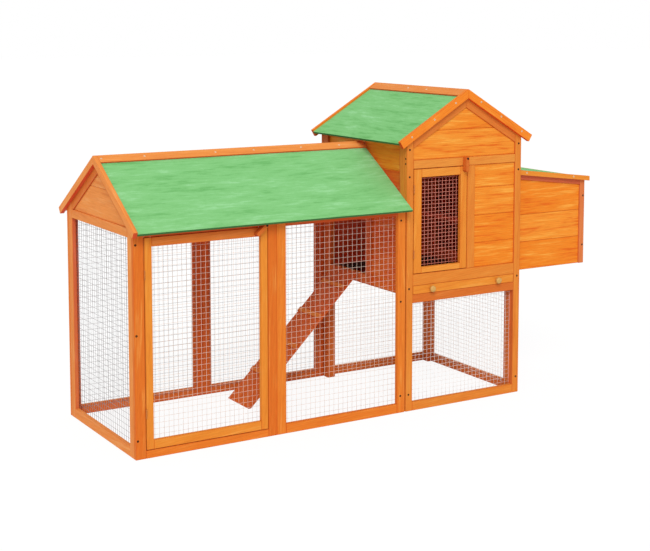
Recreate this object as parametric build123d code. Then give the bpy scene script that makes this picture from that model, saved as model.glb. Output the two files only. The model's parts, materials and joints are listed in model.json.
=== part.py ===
from build123d import *
import os
from math import atan2, cos, degrees, radians, sin, tan

# Wooden chicken coop, in millimetres: a wire run of two bays, a hen house on legs and a nest box.
# It is laid out with X along the front from the run's end, Y back from the front and Z up, and is
# moved at the end so that the middle of its footprint is the origin.

# Plan and heights
DEPTH = 588.0
DOOR_BAY = 517.0
PLAIN_BAY = 527.0
HOUSE_W = 515.5
HOUSE_WALL_H = 984.0
ROOF_CLEAR = 7.4
JOINT_GAP = 0.5
PANEL_GAP = 3.5

# Sticks of the wall panels
PANEL_T = 15.0
RUN_STILE = 36.0
LATCH_STILE = 32.5
END_STILE = 33.0
WIDE_STILE = 33.5
RUN_BOTTOM_RAIL = 34.0
RUN_SILL = 26.0
RUN_HEAD = 38.5
DOOR_HEAD = 33.5
END_HEAD = 30.0
END_HEAD_DROP = 7.5
POST = 34.0
HOUSE_STILE = 28.5
HOUSE_BOTTOM_RAIL = 33.0
FLOOR_RAIL = 30.5
TRAY_SLOT = 31.5
FLOOR_Z = 424.5
SILL = 42.0
MULLION = 34.5
MULLION_OFFSET = 9.25
HEAD_RAIL = 31.0
HEAD_DROP = 76.0

# Tongue-and-groove boards and gable battens
BOARD_PITCH = 102.0
BOARD_T = 8.0
BOARD_SET = 10.0
BOARD_V = 1.5
GABLE_SET = 5.0
FRONT_BOARD_RISE = 90.0
RUN_BATTEN = 38.0
HOUSE_BATTEN = 43.0

# Roofs
RUN_PITCH = 32.5
HOUSE_PITCH = 31.0
RUN_EAVE = 34.0
HOUSE_EAVE = 32.0
DECK_T = 6.0
FELT_T = 2.0
CAP_T = 6.0
RUN_CAP_W = 28.5
HOUSE_CAP_W = 34.0
BARGE_T = 15.0
RUN_BARGE_W = 25.0
HOUSE_BARGE_W = 28.5
RIDGE_BEAM_W = 20.0
RIDGE_BEAM_H = 34.0

# Doors, stops and turn buttons
HINGE_GAP = 2.5
DOOR_GAP = 2.0
RUN_DOOR_STILE = 25.5
RUN_DOOR_RAIL = 30.0
HOUSE_DOOR_HINGE_STILE = 33.5
HOUSE_DOOR_LATCH_STILE = 28.5
HOUSE_DOOR_TOP_RAIL = 30.0
HOUSE_DOOR_BOTTOM_RAIL = 21.0
STOP_LAP = 12.0
STOP_T = 10.0
STOP_INSET = 14.0
LATCH_L = 55.0
LATCH_W = 14.0
LATCH_T = 21.0
LATCH_CLIP = 3.5
LATCH_CLEAR = 0.4
RUN_LATCH_TURN = 221.0
RUN_LATCH_INSET = 12.5
RUN_LATCH_RISE = 8.0
HOUSE_LATCH_TURN = 270.0
HOUSE_LATCH_INSET = 13.0
HOUSE_LATCH_RISE = 29.0
SCREW_R = 2.0
SCREW_HEAD_R = 4.0
SCREW_HEAD_TOP_R = 2.8
SCREW_HEAD_H = 2.5
FIT_CLEAR = 0.05

# Butt hinges
LEAF_T = 1.0
LEAF_W = 12.0
KNUCKLE_R = 2.2
KNUCKLE_L = 10.0
KNUCKLE_END_CLEAR = 0.2
BARREL_OUT = 2.6
PIN_R = 1.0
RUN_HINGE_INSET = 120.0
HOUSE_HINGE_INSET = 70.0
LID_HINGE_INSET = 110.0
RAMP_HINGE_INSET = 32.0

# Welded wire nets, drawn at about twice the pitch of the real mesh
NET_PITCH = 36.0
WINDOW_NET_PITCH = 18.0
NET_WIRE = 1.6
NET_LAP = 8.0

# Pop hole, ramp and perch
POP_W = 250.0
POP_REVEAL = 20.0
POP_RISE = 32.5
POP_ROWS = 2
POP_JAMB = 30.0
POP_SILL = 34.0
LEFT_WALL_DROP = 4.5
RAMP_W = 164.0
RAMP_SHIFT = 10.5
RAMP_REACH = 465.0
RAMP_T = 8.0
CLEAT_W = 20.0
CLEAT_H = 5.0
CLEAT_PITCH = 144.0
CLEAT_COUNT = 4
PERCH_R = 12.0
PERCH_RISE = 215.5
PERCH_IN = 124.0

# Droppings tray
TRAY_CLEAR = 0.4
TRAY_SIDE_CLEAR = 1.5
TRAY_RIM = 20.0
TRAY_WALL = 1.5
TRAY_BACK_GAP = 19.0
RUNNER_LAP = 15.0
RUNNER_H = 10.0
KNOB_SPREAD = 150.0
KNOB_R = 12.0
KNOB_NECK_R = 6.5
KNOB_FACE_R = 9.0
KNOB_RIM = 5.0
KNOB_L = 19.0

# Nest box
NEST_W = 346.5
NEST_Y0 = 35.0
NEST_RISE = 33.5
NEST_H = 369.0
NEST_STILE = 24.0
NEST_TOP_RAIL = 20.0
NEST_BOARD_SET = 5.0
NEST_LOW_BOARD = 107.0
NEST_MID_BOARD = 104.0
NEST_FLOOR_T = 10.0
NEST_CORNER = 15.0
NEST_DIVIDER_T = 8.0
NEST_DIVIDER_H = 180.0
NEST_WAY_MARGIN = 27.0
NEST_LIP = 18.0
LID_PITCH = 7.0
LID_T = 8.5
LID_OVER = 15.0
LID_END_OVER = 0.5
LID_CLEAR = 0.4
LID_TRIM_T = 12.0
LID_TRIM_H = 18.0
LID_TRIM_DROP = 2.0
LID_TRIM_BACK = 2.5
LEDGER_H = 34.0

# Places that follow from the sizes above
RUN_L = DOOR_BAY + PLAIN_BAY
HOUSE_X0 = RUN_L + JOINT_GAP
HOUSE_X1 = HOUSE_X0 + HOUSE_W
HOUSE_MID = (HOUSE_X0 + HOUSE_X1) / 2
MID_Y = DEPTH / 2
ROOF_TOP = DECK_T + FELT_T + CAP_T
NET_T = 2 * NET_WIRE
HOUSE_RIDGE_Z = HOUSE_WALL_H + HOUSE_W / 2 * tan(radians(HOUSE_PITCH))
HOUSE_EAVE_Z = HOUSE_WALL_H - HOUSE_EAVE * tan(radians(HOUSE_PITCH))
RUN_RIDGE_Z = HOUSE_EAVE_Z - ROOF_CLEAR - ROOF_TOP / cos(radians(RUN_PITCH))
RUN_WALL_H = RUN_RIDGE_Z - MID_Y * tan(radians(RUN_PITCH))
END_HEAD_TOP = RUN_WALL_H - END_HEAD_DROP
BACK = DEPTH - PANEL_T
POST_Y0 = PANEL_T + END_STILE
POST_Y1 = BACK - END_STILE
POST_X0 = HOUSE_X0 + POST
POST_X1 = HOUSE_X1 - POST
STILE_X0 = HOUSE_X0 + HOUSE_STILE
STILE_X1 = HOUSE_X1 - HOUSE_STILE
SILL_Z = FLOOR_Z + TRAY_SLOT
HOUSE_DOOR_Z = SILL_Z + SILL
DOOR_TOP = HOUSE_WALL_H - HEAD_DROP - HEAD_RAIL
FRONT_BOARD_Z = HOUSE_DOOR_Z + FRONT_BOARD_RISE
POP_Y1 = POST_Y1 - POP_REVEAL
POP_Y0 = POP_Y1 - POP_W
POP_Z = FLOOR_Z + POP_RISE
MULLION_X0 = HOUSE_MID + MULLION_OFFSET
MULLION_X1 = MULLION_X0 + MULLION
BOARD_IN = BOARD_SET + BOARD_T
GABLE_IN = GABLE_SET + BOARD_T
NEST_X1 = HOUSE_X1 + NEST_W
NEST_Z0 = FLOOR_Z + NEST_RISE
NEST_WALL_H = NEST_Z0 + NEST_H
NEST_WAY_ROW = NEST_Z0 + NEST_FLOOR_T + NEST_LIP
NEST_Y1 = DEPTH - NEST_Y0
NEST_IN = NEST_BOARD_SET + BOARD_T
LID_X0 = HOUSE_X1 + HINGE_GAP
LID_X1 = NEST_X1 + LID_END_OVER + LID_TRIM_T
LID_Y0 = NEST_Y0 - LID_OVER
LID_Y1 = NEST_Y1 + LID_OVER
LID_FALL = tan(radians(LID_PITCH))
ORIGIN = Vector((LID_X1 - BARGE_T) / 2, MID_Y, 0)

os.makedirs("parts", exist_ok=True)


def save(name, solids):
    """Writes one sub-part, moved to the coop's own origin."""
    whole = Compound(children=[Part(s.wrapped) if not isinstance(s, Part) else s for s in solids])
    export_step(whole.moved(Location(-ORIGIN)), "parts/" + name + ".step")


def stick(x0, x1, y0, y1, z0, z1):
    """A square-sawn stick or board between two corners."""
    return Pos(x0, y0, z0) * Box(x1 - x0, y1 - y0, z1 - z0, align=(Align.MIN, Align.MIN, Align.MIN))


def cut_across(points, y0, y1):
    """A piece with an outline in X and Z, from y0 back to y1."""
    face = make_face(Polyline(*[(x, y0, z) for x, z in points], close=True))
    return extrude(face, amount=y1 - y0, dir=(0, 1, 0))


def cut_along(points, x0, x1):
    """A piece with an outline in Y and Z, from x0 along to x1."""
    face = make_face(Polyline(*[(x0, y, z) for y, z in points], close=True))
    return extrude(face, amount=x1 - x0, dir=(1, 0, 0))


def board_outline(outer, inner, z0, z1):
    """Section of a level board, with its two outer edges eased so that joints show as a V."""
    ease = BOARD_V if inner > outer else -BOARD_V
    return [
        (outer + ease, z0),
        (inner, z0),
        (inner, z1),
        (outer + ease, z1),
        (outer, z1 - BOARD_V),
        (outer, z0 + BOARD_V),
    ]


def rows(z0, z1, joint, pitch=BOARD_PITCH):
    """Bottom and top of each board between two heights, with a joint at the given height."""
    low = joint - pitch * int((joint - z0) / pitch + 1)
    found = []
    while low < z1:
        found.append((max(low, z0), min(low + pitch, z1)))
        low += pitch
    return [(a, b) for a, b in found if b - a > 4 * BOARD_V]


def front_boards(x0, x1, outer, inner, z0, z1, joint, pitch=BOARD_PITCH):
    """Boards that lie along X, with their outer face at a given depth."""
    return [cut_along(board_outline(outer, inner, a, b), x0, x1) for a, b in rows(z0, z1, joint, pitch)]


def side_boards(y0, y1, outer, inner, z0, z1, joint, pitch=BOARD_PITCH):
    """Boards that lie along Y, with their outer face at a given X."""
    return [cut_across(board_outline(outer, inner, a, b), y0, y1) for a, b in rows(z0, z1, joint, pitch)]


def wire_places(start, end, pitch):
    """Near edge of each wire of a net, with the first and last ones along its borders."""
    count = max(2, round((end - start) / pitch))
    step = (end - start - NET_WIRE) / count
    return [start + step * i for i in range(count + 1)]


def net_across(x0, x1, y0, z0, z1, pitch=NET_PITCH):
    """A net facing front: upright wires from y0 back, with level wires welded on behind them."""
    y1 = y0 + NET_WIRE
    upright = [stick(x, x + NET_WIRE, y0, y1, z0, z1) for x in wire_places(x0, x1, pitch)]
    level = [stick(x0, x1, y1, y0 + NET_T, z, z + NET_WIRE) for z in wire_places(z0, z1, pitch)]
    return upright + level


def net_along(y0, y1, x0, z0, z1, pitch=NET_PITCH):
    """A net facing sideways: upright wires from x0, with level wires welded on behind them."""
    x1 = x0 + NET_WIRE
    upright = [stick(x0, x1, y, y + NET_WIRE, z0, z1) for y in wire_places(y0, y1, pitch)]
    level = [stick(x1, x0 + NET_T, y0, y1, z, z + NET_WIRE) for z in wire_places(z0, z1, pitch)]
    return upright + level


def panel(x0, x1, y0, z1, left, right, bottom, head):
    """A frame of four sticks facing front."""
    y1 = y0 + PANEL_T
    return [
        stick(x0, x0 + left, y0, y1, 0, z1),
        stick(x1 - right, x1, y0, y1, 0, z1),
        stick(x0 + left, x1 - right, y0, y1, 0, bottom),
        stick(x0 + left, x1 - right, y0, y1, z1 - head, z1),
    ]


def slope_outline(ridge_z, pitch, low, high, reach, plumb=False, lip=0.0):
    """Outline of a layer of a roof slope, as distance from the ridge and height.

    low and high are square to the slope, from the underside of the deck. The ridge end is cut plumb. The
    lower end is square to the slope, or plumb, and a lip folds down over the layers below it.
    """
    turn = radians(pitch)

    def upright(h, t):
        return (h, ridge_z + t / cos(turn) - h * tan(turn))

    def square(h, t):
        return (h + t * sin(turn), ridge_z - h * tan(turn) + t * cos(turn))

    end = upright if plumb else square
    outline = [upright(0, low), end(reach, low)]
    if lip:
        outline += [square(reach, 0), square(reach + lip * cos(turn), 0)]
        outline += [square(reach + lip * cos(turn), high)]
    else:
        outline += [end(reach, high)]
    return outline + [upright(0, high)]


def run_slopes(x0, x1, low, high, reach, plumb=False, lip=0.0):
    """A layer on the front and rear slopes of the run's roof."""
    outline = slope_outline(RUN_RIDGE_Z, RUN_PITCH, low, high, reach, plumb, lip)
    return [cut_along([(MID_Y + side * h, z) for h, z in outline], x0, x1) for side in (-1, 1)]


def house_slopes(y0, y1, low, high, reach, plumb=False, lip=0.0):
    """A layer on the left and right slopes of the house's roof."""
    outline = slope_outline(HOUSE_RIDGE_Z, HOUSE_PITCH, low, high, reach, plumb, lip)
    return [cut_across([(HOUSE_MID + side * h, z) for h, z in outline], y0, y1) for side in (-1, 1)]


def run_deck_z(y):
    """Height of the underside of the run's roof."""
    return RUN_WALL_H + min(y, DEPTH - y) * tan(radians(RUN_PITCH))


def house_deck_z(x):
    """Height of the underside of the house's roof."""
    return HOUSE_WALL_H + min(x - HOUSE_X0, HOUSE_X1 - x) * tan(radians(HOUSE_PITCH))


def house_upright(x0, x1, y0, y1):
    """A post or stile of the house, from the ground to the slope of the roof."""
    return cut_across([(x0, 0), (x1, 0), (x1, house_deck_z(x1)), (x0, house_deck_z(x0))], y0, y1)


def hinge(place):
    """A butt hinge with its leaves in the gap: the fixed half with its pin, and the moving half.

    In the given plane X goes from the fixed to the moving side, Y into the gap and Z along the pin.
    """
    tall = 3 * KNUCKLE_L
    inner = HINGE_GAP / 2 - LEAF_T
    knuckle = Cylinder(KNUCKLE_R, KNUCKLE_L)
    pin = Cylinder(PIN_R, tall)
    bore = Cylinder(PIN_R + FIT_CLEAR, tall)
    middle_l = KNUCKLE_L - 2 * KNUCKLE_END_CLEAR
    barrel = Pos(0, -BARREL_OUT, 0)
    low_left = (Align.MAX, Align.MIN, Align.CENTER)
    low_right = (Align.MIN, Align.MIN, Align.CENTER)
    fixed = Pos(-inner, 0, 0) * Box(LEAF_T, LEAF_W, tall, align=low_left) + barrel * pin
    for side in (-1, 1):
        up = Pos(0, 0, side * KNUCKLE_L)
        fixed += up * (barrel * knuckle)
        fixed += up * (Pos(-inner, -BARREL_OUT, 0) * Box(LEAF_T, BARREL_OUT, KNUCKLE_L, align=low_left))
    moving = Pos(inner, 0, 0) * Box(LEAF_T, LEAF_W, tall, align=low_right)
    moving += barrel * Cylinder(KNUCKLE_R, middle_l)
    moving += Pos(inner, -BARREL_OUT, 0) * Box(LEAF_T, BARREL_OUT, middle_l, align=low_right)
    moving -= barrel * bore
    return place * fixed, place * moving


def turn_button(x, z, turn):
    """A wooden turn button on the front face with clipped corners, drilled near one end for its screw."""
    blank = Pos(LATCH_L / 2 - LATCH_W / 2, 0) * Rectangle(LATCH_L, LATCH_W)
    outline = chamfer(blank.vertices(), LATCH_CLIP) - Circle(SCREW_R + FIT_CLEAR)
    way = (cos(radians(turn)), 0, sin(radians(turn)))
    place = Plane(origin=(x, -LATCH_CLEAR, z), x_dir=way, z_dir=(0, -1, 0))
    return extrude(place * outline, amount=LATCH_T)


def latch_screw(x, z):
    """The pan-headed screw that a turn button swings on."""
    seat = LATCH_T + 2 * LATCH_CLEAR
    outline = Polyline(
        (0, 0),
        (SCREW_R, 0),
        (SCREW_R, seat),
        (SCREW_HEAD_R, seat),
        (SCREW_HEAD_TOP_R, seat + SCREW_HEAD_H),
        (0, seat + SCREW_HEAD_H),
        close=True,
    )
    return Pos(x, 0, z) * Rot(0, 0, 180) * revolve(make_face(outline), Axis.Y)


# Run: end wall, with its net, gable boards and battens
run_end_frame = [
    cut_along([(a, 0), (b, 0), (b, run_deck_z(b)), (a, run_deck_z(a))], 0, PANEL_T)
    for a, b in ((PANEL_T, POST_Y0), (POST_Y1, BACK))
]
run_end_frame += [
    stick(0, PANEL_T, POST_Y0, POST_Y1, 0, RUN_BOTTOM_RAIL),
    stick(0, PANEL_T, POST_Y0, POST_Y1, END_HEAD_TOP - END_HEAD, END_HEAD_TOP),
]
save("run_end_frame", run_end_frame)
end_net_top = END_HEAD_TOP - END_HEAD + NET_LAP
run_end_net = net_along(
    POST_Y0 - NET_LAP, POST_Y1 + NET_LAP, PANEL_T, RUN_BOTTOM_RAIL - NET_LAP, end_net_top
)
save("run_end_net", run_end_net)
gable_space = cut_along(
    [
        (POST_Y0, END_HEAD_TOP),
        (POST_Y1, END_HEAD_TOP),
        (POST_Y1, run_deck_z(POST_Y1)),
        (MID_Y, RUN_RIDGE_Z),
        (POST_Y0, run_deck_z(POST_Y0)),
    ],
    0,
    GABLE_IN,
)
run_gable_rows = side_boards(
    POST_Y0, POST_Y1, GABLE_SET, GABLE_IN, END_HEAD_TOP, RUN_RIDGE_Z, END_HEAD_TOP + BOARD_PITCH
)
save("run_gable_boards", [row & gable_space for row in run_gable_rows])
run_battens = run_slopes(0, GABLE_SET, -RUN_BATTEN, 0, MID_Y - POST_Y0, plumb=True)
gable_battens = [batten & gable_space for batten in run_battens]

# Run: door bay, door, plain bay and rear panels
save("run_front_frame", panel(0, DOOR_BAY, 0, RUN_WALL_H, RUN_STILE, LATCH_STILE, RUN_SILL, DOOR_HEAD))
run_door_x0 = RUN_STILE + HINGE_GAP
run_door_x1 = DOOR_BAY - LATCH_STILE - DOOR_GAP
run_door_z0 = RUN_SILL + DOOR_GAP
run_door_z1 = RUN_WALL_H - DOOR_HEAD - DOOR_GAP
run_light_x0 = run_door_x0 + RUN_DOOR_STILE
run_light_x1 = run_door_x1 - RUN_DOOR_STILE
run_light_z0 = run_door_z0 + RUN_DOOR_RAIL
run_light_z1 = run_door_z1 - RUN_DOOR_RAIL
save(
    "run_door_frame",
    [
        stick(run_door_x0, run_light_x0, 0, PANEL_T, run_door_z0, run_door_z1),
        stick(run_light_x1, run_door_x1, 0, PANEL_T, run_door_z0, run_door_z1),
        stick(run_light_x0, run_light_x1, 0, PANEL_T, run_door_z0, run_light_z0),
        stick(run_light_x0, run_light_x1, 0, PANEL_T, run_light_z1, run_door_z1),
    ],
)
run_door_net = net_across(
    run_light_x0 - NET_LAP,
    run_light_x1 + NET_LAP,
    PANEL_T,
    run_light_z0 - NET_LAP,
    run_light_z1 + NET_LAP,
)
save("run_door_net", run_door_net)
panel_x1 = RUN_L - PANEL_GAP
run_panel_frame = panel(
    DOOR_BAY, panel_x1, 0, RUN_WALL_H, RUN_STILE, WIDE_STILE, RUN_BOTTOM_RAIL, RUN_HEAD
)
save("run_panel_frame", run_panel_frame)
net_z0 = RUN_BOTTOM_RAIL - NET_LAP
net_z1 = RUN_WALL_H - RUN_HEAD + NET_LAP
panel_net = net_across(
    DOOR_BAY + RUN_STILE - NET_LAP, panel_x1 - WIDE_STILE + NET_LAP, PANEL_T, net_z0, net_z1
)
save("run_panel_net", panel_net)
for side, x0, x1 in (("left", 0, DOOR_BAY), ("right", DOOR_BAY, RUN_L)):
    rear_frame = panel(x0, x1, BACK, RUN_WALL_H, RUN_STILE, RUN_STILE, RUN_BOTTOM_RAIL, RUN_HEAD)
    save("run_rear_" + side + "_frame", rear_frame)
    rear_net = net_across(x0 + RUN_STILE - NET_LAP, x1 - RUN_STILE + NET_LAP, BACK - NET_T, net_z0, net_z1)
    save("run_rear_" + side + "_net", rear_net)

# Run: roof
run_reach = MID_Y + RUN_EAVE
felt_top = DECK_T + FELT_T
save("run_roof_decks", run_slopes(0, RUN_L, 0, DECK_T, run_reach))
save("run_roof_felts", run_slopes(0, RUN_L, DECK_T, felt_top, run_reach, lip=FELT_T))
save("run_barge_boards", run_slopes(-BARGE_T, 0, ROOF_TOP - RUN_BARGE_W, ROOF_TOP, run_reach))
run_cap_reach = RUN_CAP_W * cos(radians(RUN_PITCH))
save("run_ridge_caps", run_slopes(0, RUN_L, felt_top, ROOF_TOP, run_cap_reach))
run_beam_top = RUN_RIDGE_Z - RIDGE_BEAM_W / 2 * tan(radians(RUN_PITCH))
house_beam_top = HOUSE_RIDGE_Z - RIDGE_BEAM_W / 2 * tan(radians(HOUSE_PITCH))
half_beam = RIDGE_BEAM_W / 2
save(
    "ridge_beams",
    [
        stick(
            GABLE_IN,
            RUN_L,
            MID_Y - half_beam,
            MID_Y + half_beam,
            run_beam_top - RIDGE_BEAM_H,
            run_beam_top,
        ),
        stick(
            HOUSE_MID - half_beam,
            HOUSE_MID + half_beam,
            GABLE_IN,
            DEPTH - GABLE_IN,
            house_beam_top - RIDGE_BEAM_H,
            house_beam_top,
        ),
    ],
)

# House: posts and front frame
save(
    "house_corner_posts",
    [
        house_upright(x0, x1, y0, y1)
        for x0, x1 in ((HOUSE_X0, POST_X0), (POST_X1, HOUSE_X1))
        for y0, y1 in ((PANEL_T, POST_Y0), (POST_Y1, BACK))
    ],
)


def house_frame(y0):
    """The two stiles and two lower rails that the front and rear of the house share."""
    y1 = y0 + PANEL_T
    return [
        house_upright(HOUSE_X0, STILE_X0, y0, y1),
        house_upright(STILE_X1, HOUSE_X1, y0, y1),
        stick(STILE_X0, STILE_X1, y0, y1, 0, HOUSE_BOTTOM_RAIL),
        stick(STILE_X0, STILE_X1, y0, y1, FLOOR_Z - FLOOR_RAIL, FLOOR_Z),
    ]


front_extra = [
    stick(STILE_X0, STILE_X1, 0, PANEL_T, SILL_Z, HOUSE_DOOR_Z),
    stick(STILE_X0, STILE_X1, 0, PANEL_T, DOOR_TOP, DOOR_TOP + HEAD_RAIL),
    stick(MULLION_X0, MULLION_X1, 0, PANEL_T, HOUSE_DOOR_Z, DOOR_TOP),
]
save("house_front_frame", house_frame(0) + front_extra)
save("house_rear_frame", house_frame(BACK))
low_net_z0 = HOUSE_BOTTOM_RAIL - NET_LAP
low_net_z1 = FLOOR_Z - FLOOR_RAIL + NET_LAP
save("house_front_net", net_across(POST_X0, POST_X1, PANEL_T, low_net_z0, low_net_z1))
save("house_rear_net", net_across(POST_X0, POST_X1, BACK - NET_T, low_net_z0, low_net_z1))


def house_gable(y0, y1, z0):
    """The space between the stiles, from a given height up to the roof."""
    outline = [
        (STILE_X0, z0),
        (STILE_X1, z0),
        (STILE_X1, house_deck_z(STILE_X1)),
        (HOUSE_MID, HOUSE_RIDGE_Z),
        (STILE_X0, house_deck_z(STILE_X0)),
    ]
    return cut_across(outline, y0, y1)


# House: boarded walls
gable_z0 = DOOR_TOP + HEAD_RAIL
front_gable = house_gable(GABLE_SET, GABLE_IN, gable_z0)
front_gable_rows = front_boards(
    STILE_X0, STILE_X1, GABLE_SET, GABLE_IN, gable_z0, HOUSE_RIDGE_Z, gable_z0 + BOARD_PITCH
)
front_rows = front_boards(
    MULLION_X1, STILE_X1, GABLE_SET, GABLE_IN, HOUSE_DOOR_Z, DOOR_TOP, FRONT_BOARD_Z
)
save("house_front_boards", front_rows + [row & front_gable for row in front_gable_rows])
rear_outer = DEPTH - GABLE_SET
rear_inner = DEPTH - GABLE_IN
rear_gable = house_gable(rear_inner, rear_outer, FLOOR_Z)
rear_rows = front_boards(
    STILE_X0, STILE_X1, rear_outer, rear_inner, FLOOR_Z, HOUSE_RIDGE_Z, FRONT_BOARD_Z
)
save("house_rear_boards", [row & rear_gable for row in rear_rows])
gable_reach = HOUSE_W / 2 - HOUSE_STILE
gable_battens += house_slopes(0, GABLE_SET, -HOUSE_BATTEN, 0, gable_reach, plumb=True)
gable_battens += house_slopes(DEPTH - GABLE_SET, DEPTH, -HOUSE_BATTEN, 0, gable_reach, plumb=True)
save("gable_battens", gable_battens)

# House: left wall with the pop hole, whose sill and head lie on board joints
left_outer = HOUSE_X0 + BOARD_SET
left_inner = HOUSE_X0 + BOARD_IN
pop_top = POP_Z + POP_ROWS * BOARD_PITCH
left_wall_z = FLOOR_Z - LEFT_WALL_DROP
left_boards = side_boards(POST_Y0, POST_Y1, left_outer, left_inner, left_wall_z, POP_Z, POP_Z)
left_boards += side_boards(POST_Y0, POP_Y0, left_outer, left_inner, POP_Z, pop_top, POP_Z)
left_boards += side_boards(POP_Y1, POST_Y1, left_outer, left_inner, POP_Z, pop_top, POP_Z)
left_boards += side_boards(POST_Y0, POST_Y1, left_outer, left_inner, pop_top, HOUSE_WALL_H, pop_top)
save("house_left_boards", left_boards)
save(
    "pop_hole_frame",
    [
        stick(HOUSE_X0, left_outer, POP_Y0 - POP_JAMB, POP_Y0, POP_Z, pop_top),
        stick(HOUSE_X0, left_outer, POP_Y1, POST_Y1, POP_Z, pop_top),
        stick(HOUSE_X0, left_outer, POP_Y0 - POP_JAMB, POST_Y1, pop_top, pop_top + POP_JAMB),
        stick(HOUSE_X0, left_outer, POP_Y0 - POP_JAMB, POST_Y1, POP_Z - POP_SILL, POP_Z),
    ],
)

# House: right wall with the way into the nest box, which lies on board joints too
right_outer = HOUSE_X1 - BOARD_SET
right_inner = HOUSE_X1 - BOARD_IN
lid_top_z = NEST_WALL_H + LID_CLEAR + (LID_T + FELT_T) / cos(radians(LID_PITCH)) - HINGE_GAP * LID_FALL
ledger_z0 = lid_top_z - LEDGER_H
way_top = NEST_WAY_ROW + (ledger_z0 - NEST_WAY_ROW) // BOARD_PITCH * BOARD_PITCH
right_boards = side_boards(POST_Y0, POST_Y1, right_outer, right_inner, FLOOR_Z, NEST_WAY_ROW, NEST_WAY_ROW)
for y0, y1 in ((POST_Y0, POST_Y0 + NEST_WAY_MARGIN), (POST_Y1 - NEST_WAY_MARGIN, POST_Y1)):
    right_boards += side_boards(y0, y1, right_outer, right_inner, NEST_WAY_ROW, way_top, NEST_WAY_ROW)
right_boards += side_boards(POST_Y0, POST_Y1, right_outer, right_inner, way_top, HOUSE_WALL_H, way_top)
save("house_right_boards", right_boards)
rail_x0 = HOUSE_X1 - PANEL_T
save(
    "house_right_rails",
    [
        stick(rail_x0, HOUSE_X1, POST_Y0, POST_Y1, 0, HOUSE_BOTTOM_RAIL),
        stick(rail_x0, HOUSE_X1, POST_Y0, POST_Y1, FLOOR_Z - FLOOR_RAIL, FLOOR_Z),
        stick(right_outer, HOUSE_X1, POST_Y0, POST_Y1, ledger_z0, lid_top_z),
    ],
)
save("house_right_net", net_along(POST_Y0, POST_Y1, rail_x0 - NET_T, low_net_z0, low_net_z1))

# House: door
house_door_x0 = STILE_X0 + HINGE_GAP
house_door_x1 = MULLION_X0 - DOOR_GAP
house_door_z0 = HOUSE_DOOR_Z + DOOR_GAP
house_door_z1 = DOOR_TOP - DOOR_GAP
window_x0 = house_door_x0 + HOUSE_DOOR_HINGE_STILE
window_x1 = house_door_x1 - HOUSE_DOOR_LATCH_STILE
window_z0 = house_door_z0 + HOUSE_DOOR_BOTTOM_RAIL
window_z1 = house_door_z1 - HOUSE_DOOR_TOP_RAIL
save(
    "house_door_frame",
    [
        stick(house_door_x0, window_x0, 0, PANEL_T, house_door_z0, house_door_z1),
        stick(window_x1, house_door_x1, 0, PANEL_T, house_door_z0, house_door_z1),
        stick(window_x0, window_x1, 0, PANEL_T, house_door_z0, window_z0),
        stick(window_x0, window_x1, 0, PANEL_T, window_z1, house_door_z1),
    ],
)
window_net = net_across(
    window_x0 - NET_LAP,
    window_x1 + NET_LAP,
    PANEL_T,
    window_z0 - NET_LAP,
    window_z1 + NET_LAP,
    WINDOW_NET_PITCH,
)
save("house_door_net", window_net)

# Stops behind the closing edges of the two doors
save(
    "door_stops",
    [
        stick(x - STOP_LAP, x + STOP_LAP, PANEL_T, PANEL_T + STOP_T, z0 + STOP_INSET, z1 - STOP_INSET)
        for x, z0, z1 in (
            (run_door_x1, run_door_z0, run_door_z1),
            (house_door_x1, house_door_z0, house_door_z1),
        )
    ],
)

# Turn buttons and their screws
run_latch_at = (run_door_x1 - RUN_LATCH_INSET, run_door_z1 + RUN_LATCH_RISE)
house_latch_at = (house_door_x1 - HOUSE_LATCH_INSET, house_door_z1 + HOUSE_LATCH_RISE)
save("run_latch", [turn_button(*run_latch_at, RUN_LATCH_TURN)])
save("house_latch", [turn_button(*house_latch_at, HOUSE_LATCH_TURN)])
save("latch_screws", [latch_screw(*run_latch_at), latch_screw(*house_latch_at)])

# House: roof
house_reach = HOUSE_W / 2 + HOUSE_EAVE
save("house_roof_decks", house_slopes(0, DEPTH, 0, DECK_T, house_reach))
save("house_roof_felts", house_slopes(0, DEPTH, DECK_T, felt_top, house_reach, lip=FELT_T))
house_barges = house_slopes(-BARGE_T, 0, ROOF_TOP - HOUSE_BARGE_W, ROOF_TOP, house_reach)
house_barges += house_slopes(DEPTH, DEPTH + BARGE_T, ROOF_TOP - HOUSE_BARGE_W, ROOF_TOP, house_reach)
save("house_barge_boards", house_barges)
house_cap_reach = HOUSE_CAP_W * cos(radians(HOUSE_PITCH))
save("house_ridge_caps", house_slopes(0, DEPTH, felt_top, ROOF_TOP, house_cap_reach))

# House: perch from front boards to rear boards
perch_x = HOUSE_MID + PERCH_IN
perch_place = Plane(origin=(perch_x, GABLE_IN, FLOOR_Z + PERCH_RISE), x_dir=(1, 0, 0), z_dir=(0, 1, 0))
perch = extrude(perch_place * Circle(PERCH_R), amount=DEPTH - 2 * GABLE_IN)
save("house_perch", [perch])

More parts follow.
